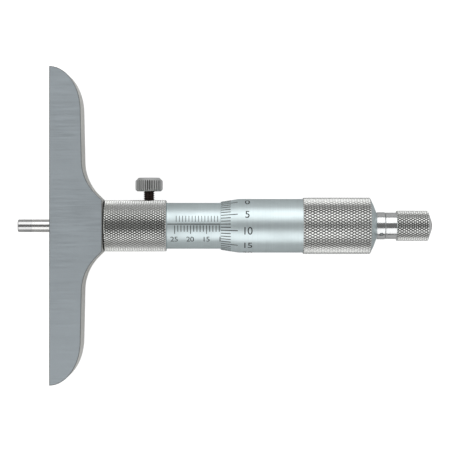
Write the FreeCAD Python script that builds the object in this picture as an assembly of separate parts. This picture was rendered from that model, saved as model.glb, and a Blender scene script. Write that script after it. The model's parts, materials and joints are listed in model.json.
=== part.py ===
import FreeCAD, Part
import math
import os
from FreeCAD import Vector

# Depth micrometer, 0 to 25 mm, with a 100 mm base and a rod that turns with its thimble.
#
# Frame, in millimetres: +X runs along the rod's axis from the measuring face to the ratchet knob,
# +Y runs along the base on the side of the clamp screw, and +Z points out of the base's broad face
# that the scale looks to. The origin is where the rod's axis crosses the measuring face.
#
# Everything that travels with the rod is modelled at a reading of zero, with the rod's tip flush
# with the measuring face, and is then moved out by READING.

# ---------------------------------------------------------------- what the instrument reads
READING = 10.58            # how far the rod stands out of the base as modelled
SCALE_ZERO = 64.2          # from the measuring face to the scale's zero mark

# ---------------------------------------------------------------- base
BASE_LENGTH = 100.0
BASE_THICKNESS = 17.0
BASE_HEIGHT = 16.5         # from the measuring face to the seat of the hub
SEAT_WIDTH = 16.2          # of the flat that the hub stands on
WING_HEIGHT = 10.3         # where the back of a wing would meet its flank
WING_TAPER_DEG = 1.2       # the back of a wing falls away towards its end
WING_END_LENGTH = 14.0        # of the wing's round end, along the wing
SHOULDER_RADIUS = 15.0
FLANK_DEG = 46.0           # between the flank and the base's length
BASE_EDGE = 0.25
NOSE_CLEARANCE = 0.4       # around the rod where it leaves the base
NOSE_LENGTH = 6.0          # of the base in front of the hub's spigot

# ---------------------------------------------------------------- hub and guide bush
HUB_DIAMETER = 16.25
HUB_LENGTH = 20.0
HUB_EDGE = 0.3
HUB_GROOVE_WIDTH = 0.4
HUB_GROOVE_DEPTH = 0.55
SPIGOT_DIAMETER = 12.0
HUB_FLOOR = 3.5            # solid part of the hub in front of the inner sleeve
BUSH_DIAMETER = 8.0
BUSH_LENGTH = 29.5

# ---------------------------------------------------------------- sleeves and adjusting nut
INNER_SLEEVE_DIAMETER = 12.5
INNER_SLEEVE_LENGTH = 56.0
INNER_SLEEVE_BORE = 8.2
SPINDLE_NUT_LENGTH = 14.0  # threaded end of the inner sleeve
SLIT_COUNT = 3
SLIT_WIDTH = 0.5
SLIT_LENGTH = 10.0
TAPER_THREAD_LENGTH = 8.5
TAPER_THREAD_DIAMETER = 11.7
TAPER_THREAD_DEG = 2.5
ADJUSTING_NUT_DIAMETER = 13.7
ADJUSTING_NUT_LENGTH = 6.5
ADJUSTING_NUT_NOTCHES = 2
ADJUSTING_NUT_NOTCH = 1.4
SLEEVE_DIAMETER = 14.55
SLEEVE_LENGTH = 30.5
SLEEVE_EDGE = 0.15

# ---------------------------------------------------------------- rod, its thread and its taper
ROD_DIAMETER = 4.0
TIP_LENGTH = 4.5
TIP_EDGE = 0.25
RING_WIDTH = 0.15          # two fine rings turned behind the tip
RING_DEPTH = 0.08
RING_SPACING = 0.8
THREAD_DIAMETER = 7.0
THREAD_START = 63.6        # from the rod's tip
THREAD_LENGTH = 36.0
RUNOUT_DIAMETER = 6.0
RUNOUT_LENGTH = 2.6
TAPER_DIAMETER = 6.6       # large end of the taper that seats the thimble
TAPER_LENGTH = 8.4
TAPER_DEG = 3.4
STOP_SCREW_DIAMETER = 4.0
STOP_SCREW_LENGTH = 7.0    # of thread inside the rod's rear end

# ---------------------------------------------------------------- thimble
THIMBLE_EDGE_DIAMETER = 15.2
THIMBLE_DIAMETER = 17.0
THIMBLE_KNURL_DIAMETER = 17.87
THIMBLE_CONE_LENGTH = 5.7
THIMBLE_PLAIN_LENGTH = 20.3
THIMBLE_KNURL_LENGTH = 21.35
THIMBLE_KNURL_EDGE = 0.25
THIMBLE_DOME_LENGTH = 1.9
THIMBLE_DOME_BULGE = 0.1   # over a straight cone
THIMBLE_DOME_CONES = 2
THIMBLE_LAND_LENGTH = 4.0
THIMBLE_BORE = 14.95
THIMBLE_BOSS_LENGTH = 10.9  # from the end of the bore to the collar

# ---------------------------------------------------------------- ratchet stop
COLLAR_DIAMETER = 8.6
COLLAR_LENGTH = 2.75
COLLAR_GROOVE_WIDTH = 0.25
COLLAR_GROOVE_DEPTH = 0.2
SPANNER_HOLE_DIAMETER = 1.4
SPANNER_HOLE_DEPTH = 2.2
SPANNER_HOLE_DEG = 39.6    # from +Z towards -Y
AXLE_DIAMETER = 3.0
KNOB_NECK_DIAMETER = 8.35
KNOB_NECK_LENGTH = 3.5
KNOB_DIAMETER = 9.57
KNOB_KNURL_LENGTH = 10.1
KNOB_END_LENGTH = 0.86
KNOB_END_EDGE = 0.2
KNOB_CAVITY_DIAMETER = 6.9
KNOB_CAVITY_LENGTH = 7.5
KNOB_EDGE = 0.12
END_SCREW_HEAD_DIAMETER = 4.3
END_SCREW_HEAD_LENGTH = 1.8
END_SCREW_CROWN = 0.4
END_SCREW_DIAMETER = 2.0
END_SCREW_LENGTH = 5.0
RATCHET_TEETH = 12
TOOTH_HEIGHT = 0.5
TOOTH_LAND = 0.1           # share of the pitch left flat at the root
RATCHET_RING_DIAMETER = 6.5
RATCHET_RING_LENGTH = 1.6
KEY_WIDTH = 1.2
KEY_HEIGHT = 0.35
SPRING_WIRE = 0.45
SPRING_DIAMETER = 5.0      # at the middle of the wire
SPRING_TURNS = 3.5
SPRING_STEPS = 14          # straight steps in a turn
SPRING_SIDES = 6           # of the wire's section

# ---------------------------------------------------------------- clamp screw
CLAMP_FROM_SEAT = 14.45    # along the hub
CLAMP_SCREW_DIAMETER = 3.5
CLAMP_SCREW_END = 0.35
CLAMP_PAD_DIAMETER = 2.4
CLAMP_PAD_LENGTH = 1.95
CLAMP_PAD_GAP = 0.25       # between the pad and the rod when the clamp is open
CLAMP_KNOB_DIAMETER = 8.7
CLAMP_KNOB_HEIGHT = 4.3
CLAMP_KNOB_STANDOFF = 2.8  # from the hub to the underside of the knob
CLAMP_KNOB_TOP_EDGE = 1.05
CLAMP_KNOB_FOOT_EDGE = 0.6
CLAMP_KNOB_WALL = 1.2      # left over the screw's blind hole

# ---------------------------------------------------------------- fits
RUNNING = 0.05             # radial clearance of a running fit
SEATED = 0.02              # radial clearance of pieces that don't turn in each other
END_GAP = 0.1              # between faces that turn past each other
OVERSHOOT = 1.0            # how far a cutter runs past the face that it opens

# ---------------------------------------------------------------- places worked out from the sizes
ROD_RADIUS = ROD_DIAMETER / 2
HUB_RADIUS = HUB_DIAMETER / 2
HUB_END = BASE_HEIGHT + HUB_LENGTH
INNER_SLEEVE_START = BASE_HEIGHT + HUB_FLOOR
INNER_SLEEVE_END = INNER_SLEEVE_START + INNER_SLEEVE_LENGTH
BUSH_START = NOSE_LENGTH
BUSH_END = BUSH_START + BUSH_LENGTH
CLAMP_X = BASE_HEIGHT + CLAMP_FROM_SEAT

# these are at a reading of zero
THIMBLE_START = SCALE_ZERO
CONE_END = THIMBLE_START + THIMBLE_CONE_LENGTH
KNURL_START = CONE_END + THIMBLE_PLAIN_LENGTH
KNURL_END = KNURL_START + THIMBLE_KNURL_LENGTH
THIMBLE_END = KNURL_END + THIMBLE_DOME_LENGTH
BOSS_START = THIMBLE_END - THIMBLE_BOSS_LENGTH
TAPER_START = THREAD_START + THREAD_LENGTH + RUNOUT_LENGTH
TAPER_END = TAPER_START + TAPER_LENGTH
COLLAR_END = THIMBLE_END + COLLAR_LENGTH
KNOB_START = COLLAR_END + END_GAP
KNOB_KNURL_START = KNOB_START + KNOB_NECK_LENGTH
KNOB_KNURL_END = KNOB_KNURL_START + KNOB_KNURL_LENGTH
KNOB_END = KNOB_KNURL_END + KNOB_END_LENGTH
CAVITY_END = KNOB_START + KNOB_CAVITY_LENGTH
AXLE_END = KNOB_END - END_SCREW_HEAD_LENGTH
FIXED_TEETH = COLLAR_END + RATCHET_RING_LENGTH
SLIDING_TEETH = FIXED_TEETH + 2 * TOOTH_HEIGHT + END_GAP
SLIDING_RING_END = SLIDING_TEETH + RATCHET_RING_LENGTH

AXIS = Vector(1, 0, 0)


# ---------------------------------------------------------------- tools
def turned(*outline):
    """A solid of revolution about the X axis from the corners (x, radius) of half its section."""
    corners = [Vector(x, radius, 0) for x, radius in outline]
    section = Part.makePolygon(corners + corners[:1])
    return Part.Face(section).revolve(Vector(), AXIS, 360)


def rod_along_x(radius, start, end):
    return Part.makeCylinder(radius, end - start, Vector(start, 0, 0), AXIS)


def rod_along_y(radius, start, end, x):
    return Part.makeCylinder(radius, end - start, Vector(x, start, 0), Vector(0, 1, 0))


def around_x(shape, degrees):
    copy = shape.copy()
    copy.rotate(Vector(), AXIS, degrees)
    return copy


def at_reading(shape):
    """Moves a piece from a reading of zero to the modelled one."""
    moved = shape.copy()
    moved.translate(Vector(-READING, 0, 0))
    return moved


def edges_on_plane(shape, axis, level):
    """The edges that lie wholly at one level along an axis, 'x', 'y' or 'z'."""
    flat = []
    for edge in shape.Edges:
        box = edge.BoundBox
        low, high = {"x": (box.XMin, box.XMax), "y": (box.YMin, box.YMax), "z": (box.ZMin, box.ZMax)}[axis]
        if abs(low - level) < 1e-4 and abs(high - level) < 1e-4:
            flat.append(edge)
    return flat


# ---------------------------------------------------------------- base
def base_outline():
    """Half of the base's outline in the XY plane, from the hub's seat to the measuring face.

    A straight flank leaves the seat, a concave shoulder turns it into the back of the wing, and a
    round end brings that down to the measuring face.
    """
    taper = math.radians(WING_TAPER_DEG)
    flank = math.radians(FLANK_DEG)
    along_wing = Vector(-math.sin(taper), math.cos(taper), 0)
    out_of_wing = Vector(math.cos(taper), math.sin(taper), 0)
    along_flank = Vector(-math.sin(flank), math.cos(flank), 0)

    seat = Vector(BASE_HEIGHT, SEAT_WIDTH / 2, 0)
    corner = seat + along_flank * ((BASE_HEIGHT - WING_HEIGHT) / math.sin(flank))
    turn = flank - taper
    reach = SHOULDER_RADIUS * math.tan(turn / 2)
    flank_end = corner - along_flank * reach
    wing_start = corner + along_wing * reach
    bisector = (along_wing - along_flank).normalize()
    shoulder_centre = corner + bisector * (SHOULDER_RADIUS / math.cos(turn / 2))
    shoulder_middle = shoulder_centre - bisector * SHOULDER_RADIUS

    # the end is a quarter of an ellipse that touches the wing's back and stands square on the tip
    centre = Vector(0, BASE_LENGTH / 2 - WING_END_LENGTH, 0)
    tip = Vector(0, BASE_LENGTH / 2, 0)
    reach_out = (corner - centre).dot(out_of_wing)
    half_width = math.sqrt(reach_out ** 2 - (WING_END_LENGTH * math.sin(taper)) ** 2) / math.cos(taper)
    touch = Vector(half_width ** 2 * math.cos(taper), WING_END_LENGTH ** 2 * math.sin(taper), 0)
    wing_end = centre + touch * (1 / reach_out)
    ellipse = Part.Ellipse(tip, centre + Vector(half_width, 0, 0), centre)

    return [
        Part.LineSegment(seat, flank_end),
        Part.Arc(flank_end, shoulder_middle, wing_start),
        Part.LineSegment(wing_start, wing_end),
        Part.ArcOfEllipse(ellipse, ellipse.parameter(tip), ellipse.parameter(wing_end)),
    ]


def base():
    upper = [curve.toShape() for curve in base_outline()]
    lower = [edge.mirror(Vector(), Vector(0, 1, 0)) for edge in upper]
    half_seat, half_length = SEAT_WIDTH / 2, BASE_LENGTH / 2
    seat = Part.makeLine(Vector(BASE_HEIGHT, -half_seat, 0), Vector(BASE_HEIGHT, half_seat, 0))
    face = Part.makeLine(Vector(0, half_length, 0), Vector(0, -half_length, 0))
    loop = Part.Wire(Part.__sortEdges__(upper + lower + [seat, face]))
    plate = Part.Face(loop).extrude(Vector(0, 0, BASE_THICKNESS))
    plate.translate(Vector(0, 0, -BASE_THICKNESS / 2))
    rims = edges_on_plane(plate, "z", BASE_THICKNESS / 2) + edges_on_plane(plate, "z", -BASE_THICKNESS / 2)
    plate = plate.makeChamfer(BASE_EDGE, rims)
    nose_bore = rod_along_x(ROD_RADIUS + NOSE_CLEARANCE, -OVERSHOOT, BASE_HEIGHT)
    spigot_bore = rod_along_x(SPIGOT_DIAMETER / 2 + SEATED, NOSE_LENGTH, BASE_HEIGHT + OVERSHOOT)
    return plate.cut([nose_bore, spigot_bore])


# ---------------------------------------------------------------- hub, bush and sleeves
def clamp_hole(radius, start, end):
    """A cutter along the clamp screw's axis."""
    return rod_along_y(radius, start, end, CLAMP_X)


def hub():
    neck_radius = HUB_RADIUS - HUB_GROOVE_DEPTH
    groove_end = BASE_HEIGHT + HUB_GROOVE_WIDTH
    bush_radius = BUSH_DIAMETER / 2 + SEATED
    sleeve_radius = INNER_SLEEVE_DIAMETER / 2 + SEATED
    spigot_radius = SPIGOT_DIAMETER / 2
    body = turned(
        (NOSE_LENGTH, bush_radius),
        (NOSE_LENGTH, spigot_radius),
        (BASE_HEIGHT, spigot_radius),
        (BASE_HEIGHT, neck_radius),
        (groove_end, neck_radius),
        (groove_end, HUB_RADIUS - HUB_EDGE),
        (groove_end + HUB_EDGE, HUB_RADIUS),
        (HUB_END - HUB_EDGE, HUB_RADIUS),
        (HUB_END, HUB_RADIUS - HUB_EDGE),
        (HUB_END, sleeve_radius),
        (INNER_SLEEVE_START, sleeve_radius),
        (INNER_SLEEVE_START, bush_radius),
    )
    return body.cut(clamp_hole(CLAMP_SCREW_DIAMETER / 2 + RUNNING, 0, HUB_DIAMETER))


def guide_bush():
    """The reamed bush that the rod runs in, drilled across for the clamp pad."""
    body = turned(
        (BUSH_START, ROD_RADIUS + RUNNING),
        (BUSH_START, BUSH_DIAMETER / 2),
        (BUSH_END, BUSH_DIAMETER / 2),
        (BUSH_END, ROD_RADIUS + RUNNING),
    )
    return body.cut(clamp_hole(CLAMP_PAD_DIAMETER / 2 + RUNNING, 0, BUSH_DIAMETER))


def inner_sleeve():
    """The spindle's nut: a tube whose slit, tapered rear end is closed by the adjusting nut."""
    outer = INNER_SLEEVE_DIAMETER / 2
    thread_bore = THREAD_DIAMETER / 2
    nut_start = INNER_SLEEVE_END - SPINDLE_NUT_LENGTH
    taper_start = INNER_SLEEVE_END - TAPER_THREAD_LENGTH
    body = turned(
        (INNER_SLEEVE_START, BUSH_DIAMETER / 2 + SEATED),
        (INNER_SLEEVE_START, outer),
        (taper_start, outer),
        (taper_start, taper_thread_radius(taper_start)),
        (INNER_SLEEVE_END, taper_thread_radius(INNER_SLEEVE_END)),
        (INNER_SLEEVE_END, thread_bore),
        (nut_start, thread_bore),
        (nut_start, INNER_SLEEVE_BORE / 2),
        (BUSH_END + 1, INNER_SLEEVE_BORE / 2),
        (BUSH_END + 1, BUSH_DIAMETER / 2 + SEATED),
    )
    slit = Part.makeBox(
        SLIT_LENGTH + OVERSHOOT, SLIT_WIDTH, outer + OVERSHOOT,
        Vector(INNER_SLEEVE_END - SLIT_LENGTH, -SLIT_WIDTH / 2, 0),
    )
    slits = [around_x(slit, index * 360 / SLIT_COUNT) for index in range(SLIT_COUNT)]
    screw_hole = clamp_hole(CLAMP_SCREW_DIAMETER / 2 + RUNNING, 0, INNER_SLEEVE_DIAMETER)
    return body.cut(slits + [screw_hole])


def taper_thread_radius(x):
    """Radius of the tapered thread that squeezes the slit end, at a place along the axis."""
    past = x - (INNER_SLEEVE_END - TAPER_THREAD_LENGTH)
    return TAPER_THREAD_DIAMETER / 2 - past * math.tan(math.radians(TAPER_THREAD_DEG))


def adjusting_nut():
    end = INNER_SLEEVE_END - 1
    start = end - ADJUSTING_NUT_LENGTH
    outer = ADJUSTING_NUT_DIAMETER / 2
    body = turned(
        (start, taper_thread_radius(start) + SEATED),
        (start, outer),
        (end, outer),
        (end, taper_thread_radius(end) + SEATED),
    )
    notch = Part.makeBox(
        ADJUSTING_NUT_NOTCH + OVERSHOOT, ADJUSTING_NUT_NOTCH, outer + OVERSHOOT,
        Vector(end - ADJUSTING_NUT_NOTCH, -ADJUSTING_NUT_NOTCH / 2, 0),
    )
    turn = 360 / ADJUSTING_NUT_NOTCHES
    return body.cut([around_x(notch, index * turn) for index in range(ADJUSTING_NUT_NOTCHES)])


def outer_sleeve():
    """The tube that carries the scale, pushed over the inner sleeve up to the hub."""
    outer, bore = SLEEVE_DIAMETER / 2, INNER_SLEEVE_DIAMETER / 2 + SEATED
    end = HUB_END + SLEEVE_LENGTH
    return turned(
        (HUB_END, bore),
        (HUB_END, outer - SLEEVE_EDGE),
        (HUB_END + SLEEVE_EDGE, outer),
        (end, outer),
        (end, bore),
    )


# ---------------------------------------------------------------- rod
def taper_radius(x):
    """Radius of the seat that carries the thimble, at a place along the rod."""
    return TAPER_DIAMETER / 2 - (x - TAPER_START) * math.tan(math.radians(TAPER_DEG))


def spindle():
    """Rod, thread and taper in one ground piece, drilled at the rear for the stop's screw."""
    ring_floor = ROD_RADIUS - RING_DEPTH
    second_ring = TIP_LENGTH + RING_SPACING
    thread_radius = THREAD_DIAMETER / 2 - RUNNING
    thread_end = THREAD_START + THREAD_LENGTH
    edge = thread_radius - RUNOUT_DIAMETER / 2
    hole_radius = STOP_SCREW_DIAMETER / 2 + RUNNING
    hole_start = TAPER_END - STOP_SCREW_LENGTH - 1
    body = turned(
        (TIP_LENGTH, 0),
        (TIP_LENGTH, ring_floor),
        (TIP_LENGTH + RING_WIDTH, ring_floor),
        (TIP_LENGTH + RING_WIDTH, ROD_RADIUS),
        (second_ring, ROD_RADIUS),
        (second_ring, ring_floor),
        (second_ring + RING_WIDTH, ring_floor),
        (second_ring + RING_WIDTH, ROD_RADIUS),
        (THREAD_START - 1, ROD_RADIUS),
        (THREAD_START, thread_radius),
        (thread_end - edge, thread_radius),
        (thread_end, RUNOUT_DIAMETER / 2),
        (TAPER_START, RUNOUT_DIAMETER / 2),
        (TAPER_START, taper_radius(TAPER_START)),
        (TAPER_END, taper_radius(TAPER_END)),
        (TAPER_END, hole_radius),
        (hole_start, hole_radius),
        (hole_start - hole_radius / math.sqrt(3), 0),
    )
    return at_reading(body)


def measuring_tip():
    """The hard-metal end of the rod, with its lapped face."""
    body = turned(
        (0, 0),
        (0, ROD_RADIUS - TIP_EDGE),
        (TIP_EDGE, ROD_RADIUS),
        (TIP_LENGTH, ROD_RADIUS),
        (TIP_LENGTH, 0),
    )
    return at_reading(body)


# ---------------------------------------------------------------- thimble
def thimble():
    """One turned cup: bevelled front edge, plain barrel, knurled grip, domed end and tapered seat."""
    land = SLEEVE_DIAMETER / 2 + RUNNING
    land_end = THIMBLE_START + THIMBLE_LAND_LENGTH
    bore = THIMBLE_BORE / 2
    grip = THIMBLE_KNURL_DIAMETER / 2
    seat_end = TAPER_END + 1
    rear_bore = taper_radius(seat_end) + RUNNING
    outline = [
        (THIMBLE_END, rear_bore),
        (seat_end, rear_bore),
        (BOSS_START, taper_radius(BOSS_START) + RUNNING),
        (BOSS_START, bore),
        (land_end, bore),
        (land_end, land),
        (THIMBLE_START, land),
        (THIMBLE_START, THIMBLE_EDGE_DIAMETER / 2),
        (CONE_END, THIMBLE_DIAMETER / 2),
        (KNURL_START, THIMBLE_DIAMETER / 2),
        (KNURL_START, grip - THIMBLE_KNURL_EDGE),
        (KNURL_START + THIMBLE_KNURL_EDGE, grip),
        (KNURL_END - THIMBLE_KNURL_EDGE, grip),
    ]
    dome = bulged((KNURL_END, grip - THIMBLE_KNURL_EDGE), (THIMBLE_END, COLLAR_DIAMETER / 2))
    return at_reading(turned(*outline, *dome))


def bulged(start, end):
    """Corners of the dome's section: a shallow arc over the straight line between two corners."""
    run, fall = end[0] - start[0], start[1] - end[1]
    length = math.hypot(run, fall)
    corners = []
    for step in range(THIMBLE_DOME_CONES + 1):
        share = step / THIMBLE_DOME_CONES
        rise = 4 * THIMBLE_DOME_BULGE * share * (1 - share)
        corners.append((start[0] + share * run + rise * fall / length,
                        start[1] - share * fall + rise * run / length))
    return corners


# ---------------------------------------------------------------- ratchet stop
def ratchet_body():
    """Screw, collar and axle in one piece: it draws the thimble on to the taper and carries the knob."""
    screw = STOP_SCREW_DIAMETER / 2
    screw_start = TAPER_END - STOP_SCREW_LENGTH
    pilot_start = TAPER_END + 1
    pilot = taper_radius(pilot_start)
    collar = COLLAR_DIAMETER / 2
    groove_end = THIMBLE_END + COLLAR_GROOVE_WIDTH
    tapped = END_SCREW_DIAMETER / 2 + SEATED
    tapped_start = AXLE_END - END_SCREW_LENGTH - 1
    body = turned(
        (screw_start, 0),
        (screw_start, screw),
        (pilot_start, screw),
        (pilot_start, pilot),
        (THIMBLE_END, pilot),
        (THIMBLE_END, collar - COLLAR_GROOVE_DEPTH),
        (groove_end, collar - COLLAR_GROOVE_DEPTH),
        (groove_end, collar),
        (COLLAR_END - KNOB_EDGE, collar),
        (COLLAR_END, collar - KNOB_EDGE),
        (COLLAR_END, AXLE_DIAMETER / 2),
        (AXLE_END, AXLE_DIAMETER / 2),
        (AXLE_END, tapped),
        (tapped_start, tapped),
        (tapped_start, 0),
    )
    hole_x = (groove_end + COLLAR_END) / 2
    hole = Part.makeCylinder(SPANNER_HOLE_DIAMETER / 2, SPANNER_HOLE_DEPTH + OVERSHOOT,
                             Vector(hole_x, 0, collar - SPANNER_HOLE_DEPTH), Vector(0, 0, 1))
    return at_reading(body.cut(around_x(hole, SPANNER_HOLE_DEG)))


def ratchet_tooth(radius, height, bottom):
    """Corners of one saw tooth at a radius: it rises from its root in one turn direction only."""
    span = 2 * math.pi / RATCHET_TEETH * (1 - TOOTH_LAND)
    corners = []
    for angle, x in ((0, bottom), (0, height), (span, 0), (span, bottom)):
        corners.append(Vector(x, radius * math.cos(angle), radius * math.sin(angle)))
    return Part.makePolygon(corners + corners[:1])


def toothed_face(bore, outer):
    """The ring of saw teeth on the plane x = 0, pointing to +X, with a thin web under them."""
    root = -RATCHET_RING_LENGTH / 2
    wedge = Part.makeLoft([ratchet_tooth(bore / 2, TOOTH_HEIGHT, root),
                           ratchet_tooth(outer + OVERSHOOT, TOOTH_HEIGHT, root)], True, True)
    pitch = 360 / RATCHET_TEETH
    teeth = [around_x(wedge, index * pitch) for index in range(RATCHET_TEETH)]
    ring = turned((root, bore), (root, outer), (TOOTH_HEIGHT, outer), (TOOTH_HEIGHT, bore))
    return [tooth.common(ring) for tooth in teeth]


def fixed_ratchet():
    """The toothed ring pressed on the axle against the collar."""
    bore = AXLE_DIAMETER / 2 + SEATED
    outer = RATCHET_RING_DIAMETER / 2
    ring = turned((COLLAR_END, bore), (COLLAR_END, outer), (FIXED_TEETH, outer), (FIXED_TEETH, bore))
    teeth = toothed_face(bore, outer)
    for tooth in teeth:
        tooth.translate(Vector(FIXED_TEETH, 0, 0))
    return at_reading(ring.fuse(teeth).removeSplitter())


def sliding_ratchet():
    """The toothed ring that two keys turn with the knob and that the spring pushes forward."""
    bore = AXLE_DIAMETER / 2 + RUNNING
    outer = KNOB_CAVITY_DIAMETER / 2 - RUNNING
    start, end = SLIDING_TEETH, SLIDING_RING_END
    ring = turned((start, bore), (start, outer), (end, outer), (end, bore))
    teeth = toothed_face(bore, RATCHET_RING_DIAMETER / 2)
    for tooth in teeth:
        tooth.rotate(Vector(), Vector(0, 0, 1), 180)
        tooth.translate(Vector(SLIDING_TEETH, 0, 0))
    keys = [key_bar(outer + KEY_HEIGHT, KEY_WIDTH, start, end, side) for side in (0, 180)]
    keys = [key.cut(rod_along_x(bore + 1, start, end)) for key in keys]
    return at_reading(ring.fuse(teeth + keys).removeSplitter())


def key_bar(reach, width, start, end, degrees):
    """A bar along the axis, from the middle out to a reach, for a key or its keyway."""
    bar = Part.makeBox(end - start, width, reach, Vector(start, -width / 2, 0))
    return around_x(bar.common(rod_along_x(reach, start, end)), degrees)


def ratchet_spring():
    """The coil between the sliding ring and the floor of the knob's cavity."""
    start = SLIDING_RING_END + SPRING_WIRE / 2 + SEATED
    end = CAVITY_END - SPRING_WIRE / 2 - SEATED
    steps = round(SPRING_TURNS * SPRING_STEPS)
    sections = []
    for step in range(steps + 1):
        share = step / steps
        turn = 2 * math.pi * SPRING_TURNS * share
        outward = Vector(0, math.cos(turn), math.sin(turn))
        middle = Vector(start + share * (end - start), 0, 0) + outward * (SPRING_DIAMETER / 2)
        corners = []
        for side in range(SPRING_SIDES):
            angle = 2 * math.pi * side / SPRING_SIDES
            corners.append(middle + (outward * math.cos(angle) + AXIS * math.sin(angle)) * (SPRING_WIRE / 2))
        sections.append(Part.makePolygon(corners + corners[:1]))
    return at_reading(Part.makeLoft(sections, True, True))


def ratchet_knob():
    """The knurled cap: hollow in front for the teeth and spring, counterbored behind for its screw."""
    neck, grip = KNOB_NECK_DIAMETER / 2, KNOB_DIAMETER / 2
    cavity = KNOB_CAVITY_DIAMETER / 2
    axle_bore = AXLE_DIAMETER / 2 + RUNNING
    head_bore = END_SCREW_HEAD_DIAMETER / 2 + RUNNING
    head_seat = AXLE_END - END_GAP
    body = turned(
        (KNOB_START, cavity),
        (KNOB_START, neck - KNOB_EDGE),
        (KNOB_START + KNOB_EDGE, neck),
        (KNOB_KNURL_START, neck),
        (KNOB_KNURL_START, grip - KNOB_EDGE),
        (KNOB_KNURL_START + KNOB_EDGE, grip),
        (KNOB_KNURL_END - KNOB_END_EDGE, grip),
        (KNOB_KNURL_END, grip - KNOB_END_EDGE),
        (KNOB_END, head_bore),
        (head_seat, head_bore),
        (head_seat, axle_bore),
        (CAVITY_END, axle_bore),
        (CAVITY_END, cavity),
    )
    mouth, width = KNOB_START - OVERSHOOT, KEY_WIDTH + 2 * RUNNING
    keyways = [key_bar(cavity + KEY_HEIGHT, width, mouth, CAVITY_END, side) for side in (0, 180)]
    keyways = [keyway.cut(rod_along_x(axle_bore, mouth, CAVITY_END)) for keyway in keyways]
    return at_reading(body.cut(keyways))


def ratchet_end_screw():
    """The low-domed screw that keeps the knob on its axle."""
    head, shank = END_SCREW_HEAD_DIAMETER / 2, END_SCREW_DIAMETER / 2
    shank_start = AXLE_END - END_SCREW_LENGTH
    body = turned(
        (shank_start, 0),
        (shank_start, shank),
        (AXLE_END, shank),
        (AXLE_END, head),
        (KNOB_END, head),
        (KNOB_END, 0),
    )
    crown_radius = (head ** 2 + END_SCREW_CROWN ** 2) / (2 * END_SCREW_CROWN)
    ball = Part.makeSphere(crown_radius, Vector(KNOB_END + END_SCREW_CROWN - crown_radius, 0, 0))
    cap = ball.common(rod_along_x(head, KNOB_END, KNOB_END + END_SCREW_CROWN + OVERSHOOT))
    return at_reading(body.fuse(cap).removeSplitter())


# ---------------------------------------------------------------- clamp
PAD_START = ROD_RADIUS + CLAMP_PAD_GAP
PAD_END = PAD_START + CLAMP_PAD_LENGTH
SCREW_START = PAD_END + RUNNING
KNOB_FOOT = HUB_RADIUS + CLAMP_KNOB_STANDOFF
KNOB_TOP = KNOB_FOOT + CLAMP_KNOB_HEIGHT
SCREW_END = KNOB_TOP - CLAMP_KNOB_WALL


def clamp_pad():
    """The brass plug that the screw pushes on the rod."""
    return rod_along_y(CLAMP_PAD_DIAMETER / 2, PAD_START, PAD_END, CLAMP_X)


def clamp_screw():
    body = rod_along_y(CLAMP_SCREW_DIAMETER / 2, SCREW_START, SCREW_END, CLAMP_X)
    return body.makeChamfer(CLAMP_SCREW_END, edges_on_plane(body, "y", SCREW_START))


def clamp_knob():
    body = rod_along_y(CLAMP_KNOB_DIAMETER / 2, KNOB_FOOT, KNOB_TOP, CLAMP_X)
    body = body.makeChamfer(CLAMP_KNOB_TOP_EDGE, edges_on_plane(body, "y", KNOB_TOP))
    body = body.makeChamfer(CLAMP_KNOB_FOOT_EDGE, edges_on_plane(body, "y", KNOB_FOOT))
    hole = rod_along_y(CLAMP_SCREW_DIAMETER / 2 + SEATED, KNOB_FOOT - OVERSHOOT, SCREW_END, CLAMP_X)
    return body.cut(hole)


# ---------------------------------------------------------------- the whole instrument
PIECES = {
    "base": base,
    "hub": hub,
    "guide_bush": guide_bush,
    "inner_sleeve": inner_sleeve,
    "adjusting_nut": adjusting_nut,
    "outer_sleeve": outer_sleeve,
    "spindle": spindle,
    "measuring_tip": measuring_tip,
    "thimble": thimble,
    "ratchet_body": ratchet_body,
    "fixed_ratchet": fixed_ratchet,
    "sliding_ratchet": sliding_ratchet,
    "ratchet_spring": ratchet_spring,
    "ratchet_knob": ratchet_knob,
    "ratchet_end_screw": ratchet_end_screw,
    "clamp_knob": clamp_knob,
    "clamp_screw": clamp_screw,
    "clamp_pad": clamp_pad,
}

os.makedirs("parts", exist_ok=True)
for name, make in PIECES.items():
    shape = make()
    solid = shape.Solids[0] if len(shape.Solids) == 1 else shape
    solid.exportStep(f"parts/{name}.step")
    print(f"{name:18s} {len(shape.Solids)} solid, {shape.Volume:9.2f} mm3, valid {shape.isValid()}")
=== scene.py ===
# %% [markdown]
# # A depth micrometer
# A depth micrometer measures how far down the floor of a hole or a slot lies. Its flat base rests on
# the work, and the thimble screws a thin rod down through it. The metal shapes were built as exact
# solids beforehand, and this lesson dresses them: it turns the round pieces again with clean edges,
# cuts the knurls and threads, engraves the scale, and gives each finish its material.
#
# Everything is in metres in one frame. +X runs along the rod towards the ratchet knob, +Y along the
# base on the clamp screw's side, and +Z out of the face that the scale looks to. The origin is where
# the rod's axis crosses the measuring face.

# %% Load the frame
import json
import math

import bmesh
import bpy
from mathutils import Matrix, Vector


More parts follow.
